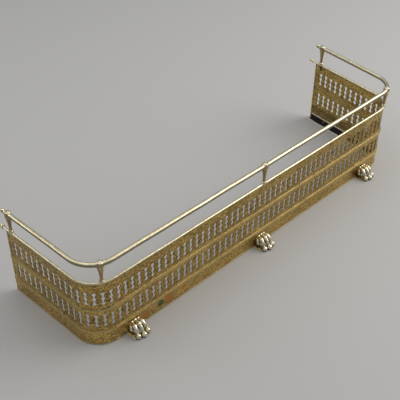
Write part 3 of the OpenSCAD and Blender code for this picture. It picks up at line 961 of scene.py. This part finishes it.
postSpots = {"rear_left": -postRearS, "front_left": -postFrontS, "middle": 0.0,
             "front_right": postFrontS, "rear_right": postRearS}
for place, s in postSpots.items():
    makePost("post_" + place, s)

finial = {"collarThick": 3.0, "collarProud": 0.8}


# Collar, neck and ball on the rear end of the rim or the rail
def makeFinial(name, s, z, ball):
    side = -1.0 if s < 0 else 1.0
    outer, run, inward = station(s)
    collar, thick, reach = ball + finial["collarProud"], finial["collarThick"], plan["ballReach"]
    outline = [(0.0, 0.0)] + rounded([(collar - 0.8, 0.0), (collar, 0.2), (collar, thick / 2),
                                      (collar, thick - 0.2), (collar - 0.9, thick),
                                      (ball * 0.55, thick + 0.4), (ball * 0.5, thick + 1.4),
                                      (ball * 0.52, reach - ball * 0.86)], 3)
    outline += arc(reach, ball, -56, 88, 16) + [(0.0, reach + ball)]
    points, runs, faces = lathe(outline, outer + inward * midU + upward * z, run * side, upward)
    makePiece(name, "bright_brass", points, faces, runs, 38, 1.4)


for tube, end, z in (("rim", rimEnd, rimZ), ("rail", railEnd, railZ)):
    for place, s in (("left", -end), ("right", end)):
        makeFinial(tube + "_finial_" + place, s, z, plan[tube + "Ball"])
print("posts and balls made")


angleIron = {
    "thick": 3.0,
    "upright": 20.0,
    "flat": 18.0,
    "short": 5.0,
    "round": 0.7,
    "fillet": 2.0,
    "step": 7.0,
    "flatEdge": 15.0,
    "uprightEdge": 17.0,
    "flatWave": 0.3,
    "uprightWave": 0.35,
    "worn": 1.6,
    "dirt": 1.5,
}


# Section of the angle with rounded corners, as depth and height
def angleSection():
    t, r = angleIron["thick"], angleIron["round"]
    u0, u1, z1 = sheet, sheet + angleIron["flat"], angleIron["upright"]
    corners = [(u0, 0.0, r * 0.6), (u1, 0.0, r), (u1, t, r),
               (u0 + t, t, angleIron["fillet"]), (u0 + t, z1, r), (u0, z1, r * 0.6)]
    section = []
    for i, (u, z, radius) in enumerate(corners):
        here, following = Vector((u, z)), corners[(i + 1) % len(corners)]
        before = (Vector(corners[i - 1][:2]) - here).normalized()
        after = (Vector(following[:2]) - here).normalized()
        first, last = here + before * radius, here + after * radius
        for w in even(0.0, 1.0, 4):
            section.append(first * (1 - w) ** 2 + here * 2 * w * (1 - w) + last * w ** 2)
        # a few more rows over the long sides
        target = Vector(following[:2]) - after * following[2]
        if (target - last).length > 6:
            section += [last.lerp(target, k / 4) for k in (1, 2, 3)]
    return section


def makeAngle(name, start, end):
    section, thick, dirt, worn = angleSection(), angleIron["thick"], angleIron["dirt"], angleIron["worn"]
    flatEnd = sheet + angleIron["flat"]
    along = spaced(start, end, angleIron["step"])
    points, runs, crest, hollow = [], [], [], []
    for s in along:
        for u, z in section:
            # the free edges are a little uneven
            du = angleIron["flatWave"] * wander(s, 12, 70) if u > angleIron["flatEdge"] else 0.0
            dz = angleIron["uprightWave"] * wander(s, 21, 85) if z > angleIron["uprightEdge"] else 0.0
            points.append(spot(s, z + dz, u + du))
            runs.append((s, z, u))
            # and bright, with dirt in the angle
            crest.append(limited(max(worn - (flatEnd - u) / thick, 1 - (angleIron["upright"] - z) / worn)))
            hollow.append(1.0 if u < sheet + thick + dirt and thick < z < thick + dirt else 0.0)
    makePiece(name, "black_iron", points, ringFaces(len(along), len(section)), runs, 50,
              marks={"crest": crest, "hollow": hollow})


for place, start, end in lengths(sheetEnd - angleIron["short"]):
    makeAngle("base_angle_" + place, start, end)
print("iron base angle made")


paw = {
    "width": 45.0,
    "height": 38.0,
    "toes": 3,
    "fan": 20.0,
    "toeBack": 5.0,
    "toe": 6.6,
    "pad": 6.8,
    "flank": 6.0,
    "wobble": 0.4,
    "drop": 1.5,
    "plate": (54.0, 32.0, 2.5),
    "plateCorner": 5.0,
    "plateEdge": 0.5,
    "balls": 13,
    "voxel": 0.8,
    "smoothing": 3,
    "seed": 3,
}


# Adds a ball with three radii, tipped forward by an angle
def lobe(shell, centre, radii, tip=0.0):
    made = bmesh.ops.create_icosphere(shell, subdivisions=3, radius=1.0)
    tipped = Matrix.Translation(Vector(centre)) @ Matrix.Rotation(radians(tip), 4, "X")
    bmesh.ops.transform(shell, matrix=tipped @ Matrix.Diagonal((*radii, 1.0)), verts=made["verts"])


# Adds one smooth finger of balls along a bent line, with its radius at each of its four marks
def finger(shell, marks, radii, flat=1.0):
    marks = [Vector(mark) for mark in marks]
    for t in even(0.0, 1.0, paw["balls"] - 1):
        weights = ((1 - t) ** 3, 3 * t * (1 - t) ** 2, 3 * t * t * (1 - t), t ** 3)
        centre = sum((mark * w for mark, w in zip(marks, weights)), Vector())
        radius = sum(r * w for r, w in zip(radii, weights))
        lobe(shell, centre, (radius * flat, radius, radius))


# Adds one toe, on the side -1, 0 or 1
def addToe(shell, side, wobble):
    toe, pad, high = paw["toe"], paw["pad"], paw["height"]
    x = side * (paw["width"] - 2 * pad) / (paw["toes"] - 1)
    padY = pad - plan["pawReach"] + paw["toeBack"] * side ** 2
    lean = tan(radians(side / (paw["toes"] - 1) * paw["fan"])) * (-4 - padY)
    drop = paw["drop"] * abs(side)
    finger(shell, [(x - lean, -2.0, high - 9.0 - drop),
                   (x - lean * 0.75 + wobble, -12.0, high - 4.8 - drop),
                   (x - lean * 0.5 + wobble, padY * 0.56, high * 0.80 - drop),
                   (x - lean * 0.25, padY * 0.76, high * 0.47)],
           (toe * 0.72, toe * 0.92, toe * 1.04, toe * 0.82), 0.92)
    # the knuckle, the knob at the root, the neck, the pad and its blunt claw
    lobe(shell, (x - lean * 0.56 + wobble, padY * 0.46, high * 0.79 - drop),
         (toe * 1.06, toe * 1.2, toe * 0.98), 20)
    lobe(shell, (x - lean * 1.02, -3.0, high - 6.4 - drop), (toe * 0.78, toe * 0.72, toe * 0.92))
    lobe(shell, (x - lean * 0.1, padY * 0.86, pad * 1.5), (pad * 0.78, pad * 0.8, pad * 0.8))
    lobe(shell, (x, padY + 1.0, pad + 0.6), (pad * 1.12, pad * 1.08, pad * 1.12))
    lobe(shell, (x, padY - pad * 0.6, pad * 0.62), (pad * 0.34, pad * 0.4, pad * 0.6), 12)


# Adds the short toe on a flank
def addFlank(shell, side):
    flank, high = paw["flank"], paw["height"]
    x = side * (paw["width"] / 2 - flank + 1)
    finger(shell, [(x - side * 5, -2.0, high * 0.66), (x - side * 2, -5.0, high * 0.6),
                   (x, -9.0, high * 0.5), (x, -9.5, high * 0.34)],
           (flank * 0.8, flank * 0.9, flank, flank * 0.92))


# Runs the balls of a shell together into one smooth mesh
def castMesh(name, shell):
    mesh = bpy.data.meshes.new(name)
    shell.to_mesh(mesh)
    shell.free()
    rough = addObject(name + "Rough", mesh)
    remesh = rough.modifiers.new("remesh", "REMESH")
    remesh.mode = "VOXEL"
    remesh.voxel_size = paw["voxel"]
    smooth = rough.modifiers.new("smooth", "SMOOTH")
    smooth.factor = 0.5
    smooth.iterations = paw["smoothing"]
    cast = bpy.data.meshes.new_from_object(rough.evaluated_get(bpy.context.evaluated_depsgraph_get()))
    bpy.data.objects.remove(rough)
    return cast


# Adds the plate under the paw, with its front corners round
def addPlate(shell):
    wide, deep, thick = paw["plate"]
    made = bmesh.ops.create_cube(shell, size=1.0)
    for vertex in made["verts"]:
        x, y, z = vertex.co
        vertex.co = Vector((x * wide, (y - 0.5) * deep - 0.1, (z + 0.5) * thick))
    edges = {e for v in made["verts"] for e in v.link_edges}
    upright = [e for e in edges if abs(e.verts[0].co.z - e.verts[1].co.z) > 1 and e.verts[0].co.y < -deep / 2]
    bevel(shell, upright, paw["plateCorner"], 6)
    topEdges = [e for e in shell.edges if len(e.link_faces) == 2
                and all(abs(v.co.z - thick) < 1e-4 for v in e.verts)
                and any(abs(f.normal.z) < 0.3 for f in e.link_faces)]
    bevel(shell, topEdges, paw["plateEdge"], 2)


# One casting at a distance along the front, from its toes, a rounded core and a plate
def makeFoot(name, footX, seed):
    chanceFoot = random.Random(seed)
    shell = bmesh.new()
    for i in range(paw["toes"]):
        addToe(shell, i - (paw["toes"] - 1) / 2, chanceFoot.uniform(-paw["wobble"], paw["wobble"]))
    for side in (-1, 1):
        addFlank(shell, side)
    # the solid under and between the toes
    half = paw["width"] / 2
    lobe(shell, (0, -12, 11), (half * 0.78, 21, 13.5))
    lobe(shell, (0, -24, 6), (half * 0.80, 14, 7.0))
    lobe(shell, (0, -3, 17), (half * 0.66, 11, 16))
    cast = castMesh(name, shell)

    shell = bmesh.new()
    shell.from_mesh(cast)
    # flat against the skirt and flat on the floor
    for point, normal in (((0, -0.15, 0), (0, 1, 0)), ((0, 0, 0.05), (0, 0, -1))):
        cut = bmesh.ops.bisect_plane(shell, geom=shell.verts[:] + shell.edges[:] + shell.faces[:],
                                     plane_co=point, plane_no=normal, clear_outer=True)
        rim = [e for e in cut["geom_cut"] if isinstance(e, bmesh.types.BMEdge)]
        bmesh.ops.holes_fill(shell, edges=rim)
    addPlate(shell)
    hem = gallery["hem"] + plan["gap"]
    origin = Vector((footX, -middleY, 0.0))
    for vertex in shell.verts:
        # room for the rolled hem
        if vertex.co.y > -hem and vertex.co.z < 2 * gallery["hem"]:
            vertex.co.y = -hem
        vertex.co = (vertex.co + origin) * mm
    bmesh.ops.recalc_face_normals(shell, faces=shell.faces)
    shell.to_mesh(cast)
    shell.free()
    finishPiece(name, "cast_brass", cast, None, 55, 2.2)


footSpots = {"left": -plan["footX"], "middle": 0.0, "right": plan["footX"]}
for i, (place, x) in enumerate(footSpots.items()):
    makeFoot("foot_" + place, x, paw["seed"] + i)
print("paw feet made")


fixings = {
    "baseZ": 11.5,
    "postDrop": 13.0,
    "rivetHead": 3.2,
    "rivetDome": 1.2,
    "rivetShank": 1.8,
    "screwHead": 4.5,
    "screwRim": 1.2,
    "screwDome": 1.6,
    "screwShank": 2.5,
    "screwGrip": 15.0,
}


# A rivet through a stack, domed at both ends
def rivetOutline(stack):
    head, dome, shank = fixings["rivetHead"], fixings["rivetDome"], fixings["rivetShank"]
    outline = [(0.0, -dome)] + arc(0.0, head, -78, 0, 6, dome)
    outline += [(head, 0.0), (shank, 0.0), (shank, stack), (head, stack)]
    return outline + arc(stack, head, 0, 78, 6, dome) + [(0.0, stack + dome)]


def makeFixings(name, slotName, spots, outline):
    points, runs, faces = [], [], []
    for s, z in spots:
        outer, run, inward = station(s)
        more, moreRuns, moreFaces = lathe(outline, outer + upward * z, inward, run, 20)
        faces += [[i + len(points) for i in face] for face in moreFaces]
        points += more
        runs += moreRuns
    makePiece(name, slotName, points, faces, runs, 40)


makeFixings("post_rivets", "sheet_brass", [(s, rimZ - fixings["postDrop"]) for s in postSpots.values()],
            rivetOutline(sheet + plan["gap"] + post["tangThick"]))
seat = sheet + angleIron["thick"]
rivetSpots = [side * plan["footX"] * k / 3 for side in (-1, 1) for k in (1, 2)]
rivetSpots += [side * (returnStart + returnLength * k) for side in (-1, 1) for k in (0.25, 0.75)]
makeFixings("base_rivets", "sheet_brass", [(s, fixings["baseZ"]) for s in rivetSpots], rivetOutline(seat))

grip, shank, head = fixings["screwGrip"], fixings["screwShank"], fixings["screwHead"]
brim = seat + fixings["screwRim"]
screwOutline = [(0.0, -grip), (shank, -grip), (shank, seat), (head, seat), (head, brim)]
screwOutline += arc(brim, head, 10, 74, 4, fixings["screwDome"])
screwOutline += [(0.9, seat + 2.75), (0.75, seat + 1.7), (0.0, seat + 1.7)]
makeFixings("foot_screws", "black_iron", [(x, fixings["baseZ"]) for x in footSpots.values()], screwOutline)
print("rivets and screws made")


studio = {
    "floorColour": (0.500, 0.496, 0.488),
    "floorSize": 160.0,
    "worldLow": (0.14, 0.14, 0.14),
    "worldHigh": (0.55, 0.555, 0.56),
    "lamps": {
        # name: place, size across and along, watts, colour
        "keyLamp": ((2.3, -1.4, 2.0), (2.7, 2.7), 62.0, (1.0, 0.975, 0.94)),
        "topLamp": ((-0.1, 0.5, 2.6), (3.2, 2.2), 12.0, (1.0, 0.99, 0.97)),
        "rearLamp": ((-1.9, 1.9, 1.5), (1.4, 0.7), 8.0, (0.96, 0.98, 1.0)),
    },
}

floorMesh = bpy.data.meshes.new("floor")
half = studio["floorSize"] / 2
corners = [(-half, -half, 0), (half, -half, 0), (half, half, 0), (-half, half, 0)]
floorMesh.from_pydata(corners, [], [(0, 1, 2, 3)])
floorPaint = Finish("floorPaint")
floorPaint.shaded({"Base Color": studio["floorColour"], "Roughness": 0.9, "Specular IOR Level": 0.2})
floorMesh.materials.append(floorPaint.owner)
floor = addObject("floor", floorMesh)

world = bpy.data.worlds.new("studio")
scene.world = world
sky = Finish("studio", world)
height = sky.part(sky.add("TexCoord", out="Generated"), 2)
glow = sky.mixed(sky.rise(height, 0.0, 0.9), studio["worldLow"], studio["worldHigh"])
sky.add("OutputWorld", {}, {"Surface": sky.add("Background", {}, {"Color": glow})})

for name, (place, size, watts, colour) in studio["lamps"].items():
    lamp = bpy.data.lights.new(name, "AREA")
    lamp.shape = "RECTANGLE"
    lamp.size, lamp.size_y = size
    lamp.energy = watts
    lamp.color = colour
    holder = addObject(name, lamp)
    holder.location = place
    holder.rotation_euler = (Vector(place) - upward * 0.1).to_track_quat("Z", "Y").to_euler()

view = {
    "place": (-1.31504, -1.25164, 1.56731),
    "azimuth": -44.2806,
    "elevation": 39.6093,
    "roll": 0.61,
    "lens": 71.71,
}

a, e, r = (radians(view[key]) for key in ("azimuth", "elevation", "roll"))
backwards = Vector((sin(a) * cos(e), -cos(a) * cos(e), sin(e)))
right = (-backwards).cross(upward).normalized()
up = right.cross(-backwards)
camX = right * cos(r) + up * sin(r)
camY = up * cos(r) - right * sin(r)
cameraData = bpy.data.cameras.new("camera")
cameraData.lens = view["lens"]
cameraData.sensor_width = 36.0
camera = addObject("camera", cameraData)
turned = Matrix((camX, camY, backwards)).transposed().to_4x4()
camera.matrix_world = Matrix.Translation(view["place"]) @ turned
scene.camera = camera
scene.view_settings.view_transform = "Standard"
print("studio set")
